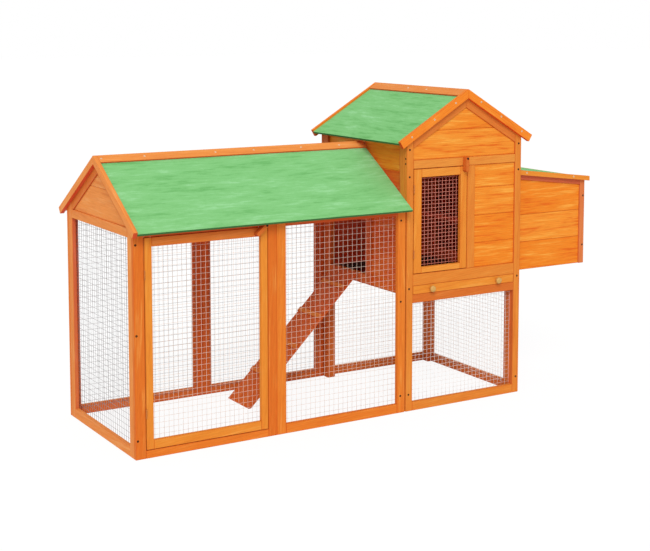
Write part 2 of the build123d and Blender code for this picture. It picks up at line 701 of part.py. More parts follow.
# Droppings tray: runners, folded pan, wooden front and two turned knobs
runner_y0, runner_y1 = POST_Y0, POST_Y1
save(
    "tray_runners",
    [
        stick(left_inner, POST_X0 + RUNNER_LAP, runner_y0, runner_y1, FLOOR_Z - RUNNER_H, FLOOR_Z),
        stick(POST_X1 - RUNNER_LAP, rail_x0, runner_y0, runner_y1, FLOOR_Z - RUNNER_H, FLOOR_Z),
    ],
)
pan_x0 = POST_X0 + TRAY_SIDE_CLEAR
pan_x1 = POST_X1 - TRAY_SIDE_CLEAR
pan_y1 = rear_inner - TRAY_BACK_GAP
pan_z0 = FLOOR_Z + TRAY_CLEAR
pan = stick(pan_x0, pan_x1, PANEL_T, pan_y1, pan_z0, pan_z0 + TRAY_RIM)
pan -= stick(
    pan_x0 + TRAY_WALL,
    pan_x1 - TRAY_WALL,
    PANEL_T + TRAY_WALL,
    pan_y1 - TRAY_WALL,
    pan_z0 + TRAY_WALL,
    pan_z0 + TRAY_RIM + TRAY_WALL,
)
save("tray_pan", [pan])
tray_front_z1 = SILL_Z - TRAY_CLEAR
save(
    "tray_front",
    [stick(STILE_X0 + TRAY_SIDE_CLEAR, STILE_X1 - TRAY_SIDE_CLEAR, 0, PANEL_T, pan_z0, tray_front_z1)],
)


def knob(x):
    """A turned wooden knob on the tray's front, flared from its neck, with an eased rim."""
    outline = Polyline(
        (0, 0),
        (KNOB_NECK_R, 0),
        (KNOB_R, KNOB_L - KNOB_RIM),
        (KNOB_FACE_R, KNOB_L),
        (0, KNOB_L),
        close=True,
    )
    turned = revolve(make_face(outline), Axis.Y)
    return Pos(x, 0, (pan_z0 + tray_front_z1) / 2) * Rot(0, 0, 180) * turned


save("tray_knobs", [knob(HOUSE_MID - KNOB_SPREAD), knob(HOUSE_MID + KNOB_SPREAD)])

# Ramp: board cut plumb at the sill and level at the ground, and cleats
ramp_x1 = HOUSE_X0 - HINGE_GAP
ramp_x0 = ramp_x1 - RAMP_REACH
ramp_turn = atan2(POP_Z, RAMP_REACH)
ramp_drop = RAMP_T / cos(ramp_turn)
ramp_mid = (POP_Y0 + POP_Y1) / 2 + RAMP_SHIFT
ramp_y0 = ramp_mid - RAMP_W / 2
ramp_y1 = ramp_mid + RAMP_W / 2
ramp_outline = [
    (ramp_x0, 0),
    (ramp_x0 + RAMP_T / sin(ramp_turn), 0),
    (ramp_x1, POP_Z - ramp_drop),
    (ramp_x1, POP_Z),
]
save("ramp_board", [cut_across(ramp_outline, ramp_y0, ramp_y1)])
ramp_way = (cos(ramp_turn), 0, sin(ramp_turn))
ramp_up = (-sin(ramp_turn), 0, cos(ramp_turn))
ramp_top = Plane(origin=(ramp_x0, ramp_y0, 0), x_dir=ramp_way, z_dir=ramp_up)
cleat = Box(CLEAT_W, RAMP_W, CLEAT_H, align=(Align.CENTER, Align.MIN, Align.MIN))
cleats = [ramp_top * (Pos(CLEAT_PITCH * (n + 1), 0, 0) * cleat) for n in range(CLEAT_COUNT)]
save("ramp_cleats", cleats)


# Nest box
def nest_top_z(x):
    """Height of the top of the nest box's walls."""
    return NEST_WALL_H - (x - HOUSE_X1) * LID_FALL


def nest_outline(x0, x1, z0):
    """Outline of a nest wall from a given height up to the slope of the lid."""
    return [(x0, z0), (x1, z0), (x1, nest_top_z(x1)), (x0, nest_top_z(x0))]


nest_stile_x = NEST_X1 - NEST_STILE
nest_end_x = NEST_X1 - NEST_IN
nest_inner_y0 = NEST_Y0 + NEST_IN
nest_inner_y1 = NEST_Y1 - NEST_IN
nest_joints = [NEST_Z0, NEST_Z0 + NEST_LOW_BOARD, NEST_Z0 + NEST_LOW_BOARD + NEST_MID_BOARD]
nest_walls = []
for outer, inner in ((NEST_Y0 + NEST_BOARD_SET, nest_inner_y0), (NEST_Y1 - NEST_BOARD_SET, nest_inner_y1)):
    field = cut_across(nest_outline(HOUSE_X1, nest_stile_x, NEST_Z0), min(outer, inner), max(outer, inner))
    for z0, z1 in zip(nest_joints, nest_joints[1:] + [NEST_WALL_H]):
        nest_walls.append(cut_along(board_outline(outer, inner, z0, z1), HOUSE_X1, nest_stile_x) & field)
for z0, z1 in zip(nest_joints, nest_joints[1:] + [nest_top_z(NEST_X1)]):
    outline = board_outline(NEST_X1 - NEST_BOARD_SET, nest_end_x, z0, z1)
    nest_walls.append(cut_across(outline, nest_inner_y0, nest_inner_y1))
save("nest_walls", nest_walls)
nest_frame = []
for y0, y1, lip_y0, lip_y1 in (
    (NEST_Y0, nest_inner_y0, NEST_Y0, NEST_Y0 + NEST_BOARD_SET),
    (nest_inner_y1, NEST_Y1, NEST_Y1 - NEST_BOARD_SET, NEST_Y1),
):
    nest_frame.append(cut_across(nest_outline(nest_stile_x, NEST_X1, NEST_Z0), y0, y1))
    top_rail = [
        (HOUSE_X1, NEST_WALL_H - NEST_TOP_RAIL),
        (nest_stile_x, nest_top_z(nest_stile_x) - NEST_TOP_RAIL),
        (nest_stile_x, nest_top_z(nest_stile_x)),
        (HOUSE_X1, NEST_WALL_H),
    ]
    nest_frame.append(cut_across(top_rail, lip_y0, lip_y1))
nest_floor_z = NEST_Z0 + NEST_FLOOR_T
corner_x1 = HOUSE_X1 + NEST_CORNER
for y0, y1 in ((nest_inner_y0, nest_inner_y0 + NEST_CORNER), (nest_inner_y1 - NEST_CORNER, nest_inner_y1)):
    nest_frame.append(cut_across(nest_outline(HOUSE_X1, corner_x1, nest_floor_z), y0, y1))
save("nest_frame", nest_frame)
save("nest_floor", [stick(HOUSE_X1, nest_end_x, nest_inner_y0, nest_inner_y1, NEST_Z0, nest_floor_z)])
half_divider = NEST_DIVIDER_T / 2
divider_z1 = nest_floor_z + NEST_DIVIDER_H
divider = stick(HOUSE_X1, nest_end_x, MID_Y - half_divider, MID_Y + half_divider, nest_floor_z, divider_z1)
save("nest_divider", [divider])

# Nest lid: board, felt and a trim on three sides, which stands above the felt at the front alone
lid_steep = 1 / cos(radians(LID_PITCH))


def lid_band(x0, x1, low, high):
    """Outline of a layer of the lid, measured square to it from the underside of its board."""
    base = LID_CLEAR
    return [
        (x0, nest_top_z(x0) + base + low * lid_steep),
        (x1, nest_top_z(x1) + base + low * lid_steep),
        (x1, nest_top_z(x1) + base + high * lid_steep),
        (x0, nest_top_z(x0) + base + high * lid_steep),
    ]


board_x1 = LID_X1 - LID_TRIM_T
board_y0 = LID_Y0 + LID_TRIM_T
board_y1 = LID_Y1 - LID_TRIM_T
save("nest_lid_board", [cut_across(lid_band(LID_X0, board_x1, 0, LID_T), board_y0, board_y1)])
save("nest_lid_felt", [cut_across(lid_band(LID_X0, board_x1, LID_T, LID_T + FELT_T), board_y0, board_y1)])
felt_top = LID_T + FELT_T
front_trim_top = LID_TRIM_H - LID_TRIM_DROP
trim_x0 = LID_X0 + LID_TRIM_BACK
save(
    "nest_lid_trim",
    [
        cut_across(lid_band(trim_x0, LID_X1, -LID_TRIM_DROP, front_trim_top), LID_Y0, board_y0),
        cut_across(lid_band(trim_x0, LID_X1, -LID_TRIM_DROP, felt_top), board_y1, LID_Y1),
        cut_across(lid_band(board_x1, LID_X1, -LID_TRIM_DROP, felt_top), board_y0, board_y1),
    ],
)

# Hinges of the run door, the house door, the nest lid and the ramp
plates = []
leaves = {"run_door": [], "house_door": [], "nest_lid": [], "ramp": []}


def hang(body, middles):
    """Adds a hinge at each place to the fixed plates and to one moving body."""
    for middle in middles:
        fixed, moving = hinge(middle)
        plates.append(fixed)
        leaves[body].append(moving)


run_hinge_x = RUN_STILE + HINGE_GAP / 2
house_hinge_x = STILE_X0 + HINGE_GAP / 2
upright_x = (1, 0, 0)
hang(
    "run_door",
    [
        Plane(origin=(run_hinge_x, 0, z), x_dir=upright_x, z_dir=(0, 0, 1))
        for z in (run_door_z0 + RUN_HINGE_INSET, run_door_z1 - RUN_HINGE_INSET)
    ],
)
hang(
    "house_door",
    [
        Plane(origin=(house_hinge_x, 0, z), x_dir=upright_x, z_dir=(0, 0, 1))
        for z in (house_door_z0 + HOUSE_HINGE_INSET, house_door_z1 - HOUSE_HINGE_INSET)
    ],
)
hang(
    "nest_lid",
    [
        Plane(origin=(HOUSE_X1 + HINGE_GAP / 2, y, lid_top_z), x_dir=upright_x, z_dir=(0, 1, 0))
        for y in (LID_Y0 + LID_HINGE_INSET, LID_Y1 - LID_HINGE_INSET)
    ],
)
hang(
    "ramp",
    [
        Plane(origin=(HOUSE_X0 - HINGE_GAP / 2, y, POP_Z), x_dir=(-1, 0, 0), z_dir=(0, -1, 0))
        for y in (ramp_y0 + RAMP_HINGE_INSET, ramp_y1 - RAMP_HINGE_INSET)
    ],
)
save("hinge_plates", plates)
for body, halves in leaves.items():
    save(body + "_hinge_leaves", halves)

# Joint axes, for whoever hangs the moving pieces
print("run door axis", Vector(run_hinge_x, -BARREL_OUT, 0) - ORIGIN)
print("house door axis", Vector(house_hinge_x, -BARREL_OUT, 0) - ORIGIN)
print("nest lid axis", Vector(HOUSE_X1 + HINGE_GAP / 2, 0, lid_top_z + BARREL_OUT) - ORIGIN)
print("ramp axis", Vector(HOUSE_X0 - HINGE_GAP / 2, 0, POP_Z + BARREL_OUT) - ORIGIN)
print("run latch axis", Vector(run_latch_at[0], 0, run_latch_at[1]) - ORIGIN)
print("house latch axis", Vector(house_latch_at[0], 0, house_latch_at[1]) - ORIGIN)
print("ramp slope in degrees", degrees(ramp_turn))
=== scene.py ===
import json
from math import cos, pi, radians, sin
from random import Random

import bmesh
import bpy
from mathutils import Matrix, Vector

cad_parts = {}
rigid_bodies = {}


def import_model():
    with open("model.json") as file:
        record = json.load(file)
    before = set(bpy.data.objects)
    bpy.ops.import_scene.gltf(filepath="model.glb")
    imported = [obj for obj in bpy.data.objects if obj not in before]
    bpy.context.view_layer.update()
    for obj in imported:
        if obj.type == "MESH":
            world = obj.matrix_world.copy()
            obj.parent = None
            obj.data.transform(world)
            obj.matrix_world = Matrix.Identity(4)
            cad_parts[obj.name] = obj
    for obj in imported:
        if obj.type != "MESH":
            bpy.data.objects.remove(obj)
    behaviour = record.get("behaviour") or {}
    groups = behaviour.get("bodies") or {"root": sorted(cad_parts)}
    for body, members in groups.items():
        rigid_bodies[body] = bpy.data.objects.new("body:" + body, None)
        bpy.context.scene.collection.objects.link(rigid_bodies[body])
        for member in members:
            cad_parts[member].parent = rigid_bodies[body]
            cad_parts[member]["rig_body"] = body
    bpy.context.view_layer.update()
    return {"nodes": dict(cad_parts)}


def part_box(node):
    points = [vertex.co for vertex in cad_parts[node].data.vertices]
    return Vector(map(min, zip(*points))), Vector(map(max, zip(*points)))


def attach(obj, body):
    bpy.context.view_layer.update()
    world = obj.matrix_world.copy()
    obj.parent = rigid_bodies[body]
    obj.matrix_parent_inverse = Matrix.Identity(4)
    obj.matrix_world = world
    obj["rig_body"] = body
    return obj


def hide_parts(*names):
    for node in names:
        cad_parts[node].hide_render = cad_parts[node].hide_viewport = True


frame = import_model()

# Setting: a white studio floor and backdrop under soft light from the front and above. The camera stands
# off the run's end of the coop, with its lens shifted down to keep the posts nearly upright in the picture.
SENSOR_WIDTH = 36.0
LENS = 74.84
LENS_SHIFT = -0.19
CAMERA_PLACE = (-2.605, -4.208, 1.4128)
CAMERA_TILT = radians(84.304)
CAMERA_TURN = radians(-31.079)
scene = bpy.context.scene
scene.view_settings.view_transform = "Standard"

camera_data = bpy.data.cameras.new("camera")
camera_data.sensor_fit = "HORIZONTAL"
camera_data.sensor_width = SENSOR_WIDTH
camera_data.lens = LENS
camera_data.shift_y = LENS_SHIFT
camera = bpy.data.objects.new("camera", camera_data)
camera.location = CAMERA_PLACE
camera.rotation_euler = (CAMERA_TILT, 0, CAMERA_TURN)
scene.collection.objects.link(camera)
scene.camera = camera


def node(tree, kind, feeds=(), **settings):
    """Adds a shader node, sets its properties and feeds its sockets with values or other outputs."""
    made = tree.nodes.new("ShaderNode" + kind)
    for name, value in settings.items():
        setattr(made, name, value)
    for socket, source in dict(feeds).items():
        if isinstance(source, bpy.types.NodeSocket):
            tree.links.new(source, made.inputs[socket])
        else:
            made.inputs[socket].default_value = source
    return made


def seen_directly(tree):
    """1 where the camera, a reflection or glass looks at a surface, and 0 where it only lights others."""
    path = node(tree, "LightPath").outputs
    either = node(tree, "Math", {0: path["Is Camera Ray"], 1: path["Is Glossy Ray"]}, operation="MAXIMUM")
    any_of_three = {0: either.outputs[0], 1: path["Is Transmission Ray"]}
    return node(tree, "Math", any_of_three, operation="MAXIMUM").outputs[0]


WHITE = (1, 1, 1, 1)
SKY_LIGHT = 0.62
SUN_LIGHT = 1.6
SUN_SPREAD = radians(30)
SUN_WAY = Vector((0.4, 0.66, -0.64))
FLOOR_REACH = 40
FLOOR_PAINT = (0.9, 0.9, 0.9, 1)
SHADOW_PAINT = (0.12, 0.12, 0.12, 1)
FLOOR_GLOW = 0.905
world = bpy.data.worlds.new("studio")
world.use_nodes = True
world.node_tree.nodes.clear()
sky = node(world.node_tree, "Background", {"Color": WHITE, "Strength": SKY_LIGHT})
backdrop = node(world.node_tree, "Background", {"Color": WHITE, "Strength": 1.0})
either_sky = node(
    world.node_tree,
    "MixShader",
    {0: seen_directly(world.node_tree), 1: sky.outputs[0], 2: backdrop.outputs[0]},
)
node(world.node_tree, "OutputWorld", {"Surface": either_sky.outputs[0]})
scene.world = world

sun_data = bpy.data.lights.new("window_light", "SUN")
sun_data.energy = SUN_LIGHT
sun_data.angle = SUN_SPREAD
sun = bpy.data.objects.new("window_light", sun_data)
sun.rotation_euler = SUN_WAY.to_track_quat("-Z", "Y").to_euler()
scene.collection.objects.link(sun)

floor_mesh = bpy.data.meshes.new("studio_floor")
corners = [(x * FLOOR_REACH, y * FLOOR_REACH, 0) for x, y in ((-1, -1), (1, -1), (1, 1), (-1, 1))]
floor_mesh.from_pydata(corners, [], [(0, 1, 2, 3)])
floor = bpy.data.objects.new("studio_floor", floor_mesh)
scene.collection.objects.link(floor)
floor_paint = bpy.data.materials.new("studio_floor_paint")
floor_paint.use_nodes = True
floor_tree = floor_paint.node_tree
floor_tree.nodes.clear()
paint = node(floor_tree, "BsdfDiffuse", {"Color": FLOOR_PAINT})
shadow_paint = node(floor_tree, "BsdfDiffuse", {"Color": SHADOW_PAINT})
glow = node(floor_tree, "Emission", {"Color": WHITE, "Strength": FLOOR_GLOW})
pale_shadow = node(floor_tree, "AddShader", {0: shadow_paint.outputs[0], 1: glow.outputs[0]})
either_paint = node(
    floor_tree, "MixShader", {0: seen_directly(floor_tree), 1: paint.outputs[0], 2: pale_shadow.outputs[0]}
)
node(floor_tree, "OutputMaterial", {"Surface": either_paint.outputs[0]})
floor_mesh.materials.append(floor_paint)

# Run walls: planed fir battens, butted and screwed into flat panels and stained an orange brown. Two bays
# stand at the front, two at the rear and one closes the end. Faces turned inwards or down get painted
# shade: their colour is made darker and redder for the shade that the roof, walls and parts above cast.
chance = Random(7)
end_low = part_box("run_end_frame")[0]
rear_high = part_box("run_rear_left_frame")[1]
wall_low, wall_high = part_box("house_left_boards")
front_low, front_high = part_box("house_front_boards")
back_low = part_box("house_rear_boards")[0]
right_low, right_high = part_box("house_right_boards")
nest_low, nest_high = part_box("nest_walls")
head_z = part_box("house_front_frame")[1].z
PLANE_GAP = 0.0005
# How far out from a face to look for the room whose painted shade it gets
SHADE_PROBE_REACH = 0.006
POST_MIDDLE = 0.017
ROOF_ROOM = 0.02
UNDERGROUND = -1.0
FAR_WALL = 0.03
BOARD_DEPTH = 0.008
TURNED_UP = 0.4
# Levels of painted shade: for an underside outdoors, and for faces that look into the run, the house or the
# nests
UNDERSIDE_PAINTED_SHADE = -1.0
RUN_PAINTED_SHADE = 1.0
HOUSE_PAINTED_SHADE = 1.2
NEST_PAINTED_SHADE = 2.0
# Rooms by their low and high corners, whose inward faces get painted shade: the run, the foot of the house,
# the house, its far wall and the nests
INSIDE = (
    (
        RUN_PAINTED_SHADE,
        (end_low.x + PLANE_GAP, end_low.y + POST_MIDDLE, UNDERGROUND),
        (wall_low.x, rear_high.y - PLANE_GAP, rear_high.z + ROOF_ROOM),
    ),
    (
        RUN_PAINTED_SHADE,
        (wall_low.x, front_low.y, UNDERGROUND),
        (right_high.x, rear_high.y - PLANE_GAP, wall_low.z),
    ),
    (HOUSE_PAINTED_SHADE, (wall_high.x, front_high.y, wall_low.z), (right_low.x - FAR_WALL, back_low.y, head_z)),
    (NEST_PAINTED_SHADE, (right_low.x - FAR_WALL, front_high.y, wall_low.z), (right_low.x, back_low.y, head_z)),
    (
        NEST_PAINTED_SHADE,
        (nest_low.x - PLANE_GAP, nest_low.y + BOARD_DEPTH, nest_low.z + PLANE_GAP),
        (nest_high.x - BOARD_DEPTH, nest_high.y - BOARD_DEPTH, nest_high.z),
    ),
)


def stick_shade(face):
    """How much painted shade a face gets: that of the room it looks into, that of an underside, or 0
    outdoors.
    """
    spot = face.calc_center_median() + face.normal * SHADE_PROBE_REACH
    spot.z = min(v.co.z for v in face.verts) + face.normal.z * SHADE_PROBE_REACH
    for shade_level, low, high in INSIDE:
        within = all(a < c < b for a, c, b in zip(low, spot, high))
        if within and (shade_level > RUN_PAINTED_SHADE or face.normal.z < TURNED_UP):
            return shade_level
    return UNDERSIDE_PAINTED_SHADE if face.normal.z < -TURNED_UP else 0.0


def sticks_of(name):
    """The separate solids of a CAD node, each as a list of faces with their corners in metres."""
    mesh = frame["nodes"][name].data
    spots = [tuple(round(c, 6) for c in v.co) for v in mesh.vertices]
    sticks, faces, open_edges = [], [], set()
    for polygon in mesh.polygons:
        corners = [spots[i] for i in polygon.vertices]
        faces.append(corners)
        for edge in zip(corners, corners[1:] + corners[:1]):
            if edge[::-1] in open_edges:
                open_edges.remove(edge[::-1])
            else:
                open_edges.add(edge)
        if not open_edges:
            sticks.append(faces)
            faces = []
    return sticks


FLAT_BEND = radians(1)
ARRIS_BEND = radians(15)
EASE_STEPS = 2


def eased(faces, ease):
    """One solid with its flat faces whole again and its arrises rounded, and the way its grain runs."""
    solid = bmesh.new()
    corner = {}
    for face in faces:
        for spot in face:
            if spot not in corner:
                corner[spot] = solid.verts.new(spot)
        solid.faces.new([corner[spot] for spot in face])
    bmesh.ops.dissolve_limit(solid, angle_limit=FLAT_BEND, verts=solid.verts, edges=solid.edges)
    longest = max(solid.edges, key=lambda e: e.calc_length())
    along = (longest.verts[1].co - longest.verts[0].co).normalized()
    if max(along, key=abs) < 0:
        along.negate()
    arrises = [e for e in solid.edges if len(e.link_faces) == 2 and e.calc_face_angle() > ARRIS_BEND]
    flat = set(solid.faces)
    made = bmesh.ops.bevel(
        solid,
        geom=arrises,
        offset=ease,
        offset_type="OFFSET",
        segments=EASE_STEPS,
        profile=0.5,
        affect="EDGES",
        clamp_overlap=True,
    )
    rounded = set(made["faces"]) - flat
    return solid, along, rounded


def show(name, mesh, material, body, slot, *stands_for):
    """Links a finished mesh to the scene as a piece that rides on a body and stands for CAD nodes."""
    mesh.materials.append(material)
    piece = bpy.data.objects.new(name, mesh)
    scene.collection.objects.link(piece)
    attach(piece, body)
    if stands_for:
        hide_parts(*stands_for)
    return piece


ARRIS_EASE = 0.0012
# Limits of each stick's own place in the grain, of its paleness and of how far its joints show
GRAIN_START = (0, 40)
GRAIN_DEPTH = (0.03, 0.2)
TONES = (0.3, 0.8)
JOINTS = (0.1, 1.0)
# Limits on a direction's lean: for a level stick, for end grain, for a side face and for a V at a joint
LYING = 0.5
END_ON = 0.7
SIDE_ON = 0.1
V_SLANT = 0.4


def timber(name, material, ease=ARRIS_EASE, grain=None, slot="stained_fir", tones=(), deep=(), joint=1.0):
    """Stands for a CAD node of wood or felt: every stick has soft arrises and a run of grain of its own.

    The mesh carries where each point lies in its stick (grain), the stick's own paleness (tone), which may
    be given, its end grain (end), how far the joints of its boards show (seam), its rounded arrises (arris)
    and how much painted shade darkens each face (shade), which a stick may be given all over (deep) as a
    painted shadow.
    """
    spots, faces = [], []
    places, stick_tones, ends, seams, rounded_flags, shades = [], [], [], [], [], []
    for i, stick in enumerate(sticks_of(name)):
        solid, along, rounded = eased(stick, ease)
        if grain == "level":
            xs = [v.co.x for v in solid.verts]
            ys = [v.co.y for v in solid.verts]
            along = Vector((1, 0, 0)) if max(xs) - min(xs) > max(ys) - min(ys) else Vector((0, 1, 0))
        elif grain:
            along = Vector(grain)
        across = along.orthogonal().normalized()
        if abs(across.z) < LYING and abs(along.z) < LYING:
            across = along.cross(Vector((0, 0, 1))).normalized()
        depth = along.cross(across)
        shift = Vector([chance.uniform(*limits) for limits in (GRAIN_START, GRAIN_DEPTH, GRAIN_DEPTH)])
        middle = sum((v.co for v in solid.verts), Vector()) / len(solid.verts)
        tone = chance.uniform(*TONES)
        if i < len(tones):
            tone = tones[i]
        stick_deep = deep[i] if i < len(deep) else 0.0
        stick_joint = joint * chance.uniform(*JOINTS)
        first = len(spots)
        solid.verts.index_update()
        for v in solid.verts:
            spots.append(v.co[:])
            p = v.co - middle
            places.append(Vector((p.dot(along), p.dot(across), p.dot(depth))) + shift)
            stick_tones.append(tone)
        for face in solid.faces:
            faces.append([first + v.index for v in face.verts])
            endwise = abs(face.normal.dot(along))
            ends.append(1.0 if endwise > END_ON else 0.0)
            slant = min(abs(face.normal.z), abs(face.normal.cross(along).z)) > V_SLANT
            in_joint = grain == "level" and slant and endwise < SIDE_ON
            seams.append(stick_joint if in_joint else 0.0)
            # Rounded arrises are flagged here, and their colour is drawn darker and redder
            rounded_flags.append(1.0 if face in rounded and not in_joint else 0.0)
            face_shade = stick_shade(face)
            if face_shade != UNDERSIDE_PAINTED_SHADE:
                face_shade = max(stick_deep, face_shade)
            shades.append(0.0 if in_joint else face_shade)
        solid.free()
    mesh = bpy.data.meshes.new(name + "_wood")
    mesh.from_pydata(spots, [], faces)
    layer = mesh.attributes.new("grain", "FLOAT_VECTOR", "POINT")
    layer.data.foreach_set("vector", [c for p in places for c in p])
    mesh.attributes.new("tone", "FLOAT", "POINT").data.foreach_set("value", stick_tones)
    for title, values in (("end", ends), ("seam", seams), ("arris", rounded_flags), ("shade", shades)):
        mesh.attributes.new(title, "FLOAT", "FACE").data.foreach_set("value", values)
    return show(name + "_wood", mesh, material, frame["nodes"][name]["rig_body"], slot, name)


def mix(tree, factor, a, b, blend="MIX"):
    """Blends two colours."""
    made = node(tree, "Mix", {0: factor, 6: a, 7: b}, data_type="RGBA", blend_type=blend, clamp_factor=True)
    return made.outputs[2]


def times(tree, a, b):
    """Multiplies two values."""
    return node(tree, "Math", {0: a, 1: b}, operation="MULTIPLY").outputs[0]


def between(tree, value, low, high, out_low=0.0, out_high=1.0):
    """Maps a value from one range to another with soft ends."""
    feeds = {"Value": value, "From Min": low, "From Max": high, "To Min": out_low, "To Max": out_high}
    return node(tree, "MapRange", feeds, interpolation_type="SMOOTHSTEP").outputs[0]


def noise(tree, place, stretch, detail=2.0, roughness=0.5):
    """Noise in coordinates that are stretched, in features per metre."""
    scaled = node(tree, "VectorMath", {0: place, 1: stretch}, operation="MULTIPLY")
    feeds = {"Vector": scaled.outputs[0], "Scale": 1.0, "Detail": detail, "Roughness": roughness}
    return node(tree, "TexNoise", feeds).outputs[0]


# The joints' dark staining, and the tints of painted shade for faces that would lie in shade, painted weaker
# towards the ground
SEAM_STAIN = (0.42, 0.08, 0.008, 1)
PAINTED_SHADE_TINT = (0.86, 0.56, 1.0, 1)
HOUSE_PAINTED_SHADE_TINT = (1.3, 0.85, 2.4, 1)
NEST_PAINTED_SHADE_TINT = (1.0, 1.4, 1.2, 1)
UNDERSIDE_PAINTED_SHADE_TINT = (0.88, 0.34, 0.45, 1)
FOOT_HEIGHT = 0.6
FOOT_PAINTED_SHADE = 0.7
fir_grain_and_painted_shade = bpy.data.node_groups.new("fir_grain_and_painted_shade", "ShaderNodeTree")
for title, kind in (("Stain", "Color"), ("Pale", "Color"), ("Deep", "Color"), ("Streaks", "Float")):
    fir_grain_and_painted_shade.interface.new_socket(title, in_out="INPUT", socket_type="NodeSocket" + kind)
for title, kind in (("Color", "Color"), ("Roughness", "Float"), ("Height", "Float")):
    fir_grain_and_painted_shade.interface.new_socket(title, in_out="OUTPUT", socket_type="NodeSocket" + kind)
given = fir_grain_and_painted_shade.nodes.new("NodeGroupInput").outputs
place = node(fir_grain_and_painted_shade, "Attribute", attribute_name="grain").outputs["Vector"]
tone, end, seam, arris, shade = [
    node(fir_grain_and_painted_shade, "Attribute", attribute_name=title).outputs["Fac"]
    for title in ("tone", "end", "seam", "arris", "shade")
]
blotch = noise(fir_grain_and_painted_shade, place, (5, 50, 50), 2.0, 0.5)
streak = noise(fir_grain_and_painted_shade, place, (10, 170, 170), 3.0, 0.62)
fibre = noise(fir_grain_and_painted_shade, place, (30, 700, 700), 2.0, 0.6)
rings_place = node(fir_grain_and_painted_shade, "VectorMath", {0: place, 1: (0.35, 1, 1)}, operation="MULTIPLY")
rings = node(
    fir_grain_and_painted_shade,
    "TexWave",
    {
        "Vector": rings_place.outputs[0],
        "Scale": 46.0,
        "Distortion": 3.5,
        "Detail": 2.0,
        "Detail Scale": 0.35,
        "Detail Roughness": 0.5,
    },
    wave_type="RINGS",
    rings_direction="X",
).outputs["Fac"]
stained = mix(fir_grain_and_painted_shade, between(fir_grain_and_painted_shade, tone, 0.55, 1.0, 0.0, 0.5), given["Stain"], given["Pale"])
stained = mix(fir_grain_and_painted_shade, between(fir_grain_and_painted_shade, tone, 0.45, 0.0, 0.0, 0.6), stained, given["Deep"])
streaks = node(fir_grain_and_painted_shade, "Math", {0: blotch, 1: streak}, operation="ADD").outputs[0]
pale_streaks = times(fir_grain_and_painted_shade, between(fir_grain_and_painted_shade, streaks, 1.02, 1.36), given["Streaks"])
deep_streaks = times(fir_grain_and_painted_shade, between(fir_grain_and_painted_shade, streaks, 0.98, 0.66), given["Streaks"])
stained = mix(fir_grain_and_painted_shade, pale_streaks, stained, given["Pale"])
stained = mix(fir_grain_and_painted_shade, deep_streaks, stained, given["Deep"])
stained = mix(fir_grain_and_painted_shade, between(fir_grain_and_painted_shade, rings, 0.55, 1.0, 0.0, 0.22), stained, given["Deep"])
fibre_shade = between(fir_grain_and_painted_shade, fibre, 0.3, 0.7, 0.93, 1.05)
fibre_tint = node(fir_grain_and_painted_shade, "CombineColor", {0: fibre_shade, 1: fibre_shade, 2: fibre_shade}).outputs[0]
stained = mix(fir_grain_and_painted_shade, 1.0, stained, fibre_tint, "MULTIPLY")
stained = mix(fir_grain_and_painted_shade, times(fir_grain_and_painted_shade, arris, 0.6), stained, given["Deep"])
stained = mix(fir_grain_and_painted_shade, times(fir_grain_and_painted_shade, end, 0.5), stained, given["Deep"])
stained = mix(fir_grain_and_painted_shade, seam, stained, SEAM_STAIN)
height = node(fir_grain_and_painted_shade, "SeparateXYZ", {0: node(fir_grain_and_painted_shade, "TexCoord").outputs["Object"]}).outputs["Z"]
painted_shade_amount = times(fir_grain_and_painted_shade, shade, between(fir_grain_and_painted_shade, height, 0.0, FOOT_HEIGHT, FOOT_PAINTED_SHADE, 1.0))
stained = mix(fir_grain_and_painted_shade, painted_shade_amount, stained, PAINTED_SHADE_TINT, "MULTIPLY")
# Painted shade deepens further on faces inside the house and the nests, and takes its own tint on undersides
# outdoors
for lighter, shade_level, stain_and_painted_shade_tint in (
    (RUN_PAINTED_SHADE, HOUSE_PAINTED_SHADE, HOUSE_PAINTED_SHADE_TINT),
    (HOUSE_PAINTED_SHADE, NEST_PAINTED_SHADE, NEST_PAINTED_SHADE_TINT),
    (0.0, UNDERSIDE_PAINTED_SHADE, UNDERSIDE_PAINTED_SHADE_TINT),
):
    stained = mix(fir_grain_and_painted_shade, between(fir_grain_and_painted_shade, shade, lighter, shade_level), stained, stain_and_painted_shade_tint, "MULTIPLY")
roughness = between(fir_grain_and_painted_shade, streak, 0.3, 0.7, 0.66, 0.54)
relief = node(fir_grain_and_painted_shade, "Math", {0: fibre, 1: 0.6, 2: rings}, operation="MULTIPLY_ADD").outputs[0]
given_out = fir_grain_and_painted_shade.nodes.new("NodeGroupOutput").inputs
for title, source in (("Color", stained), ("Roughness", roughness), ("Height", relief)):
    fir_grain_and_painted_shade.links.new(source, given_out[title])


SATIN = 0.12
GRAIN_STRENGTH = 0.35
GRAIN_RELIEF = 0.0003


def stained_fir(name, stain_and_painted_shade_tint, pale, deep, streaks=1.0):
    """Planed fir, stained with a satin finish in the given shades, and darkened by painted shade on faces
    whose shade attribute asks for it.
    """
    material = bpy.data.materials.new(name)
    material.use_nodes = True
    tree = material.node_tree
    shader = tree.nodes["Principled BSDF"]
    grain = tree.nodes.new("ShaderNodeGroup")
    grain.node_tree = fir_grain_and_painted_shade
    for title, value in (("Stain", stain_and_painted_shade_tint), ("Pale", pale), ("Deep", deep)):
        grain.inputs[title].default_value = (*value, 1)
    grain.inputs["Streaks"].default_value = streaks
    feeds = {"Height": grain.outputs["Height"], "Strength": GRAIN_STRENGTH, "Distance": GRAIN_RELIEF}
    bump = node(tree, "Bump", feeds)
    tree.links.new(grain.outputs["Color"], shader.inputs["Base Color"])
    tree.links.new(grain.outputs["Roughness"], shader.inputs["Roughness"])
    tree.links.new(bump.outputs[0], shader.inputs["Normal"])
    shader.inputs["Specular IOR Level"].default_value = SATIN
    return material


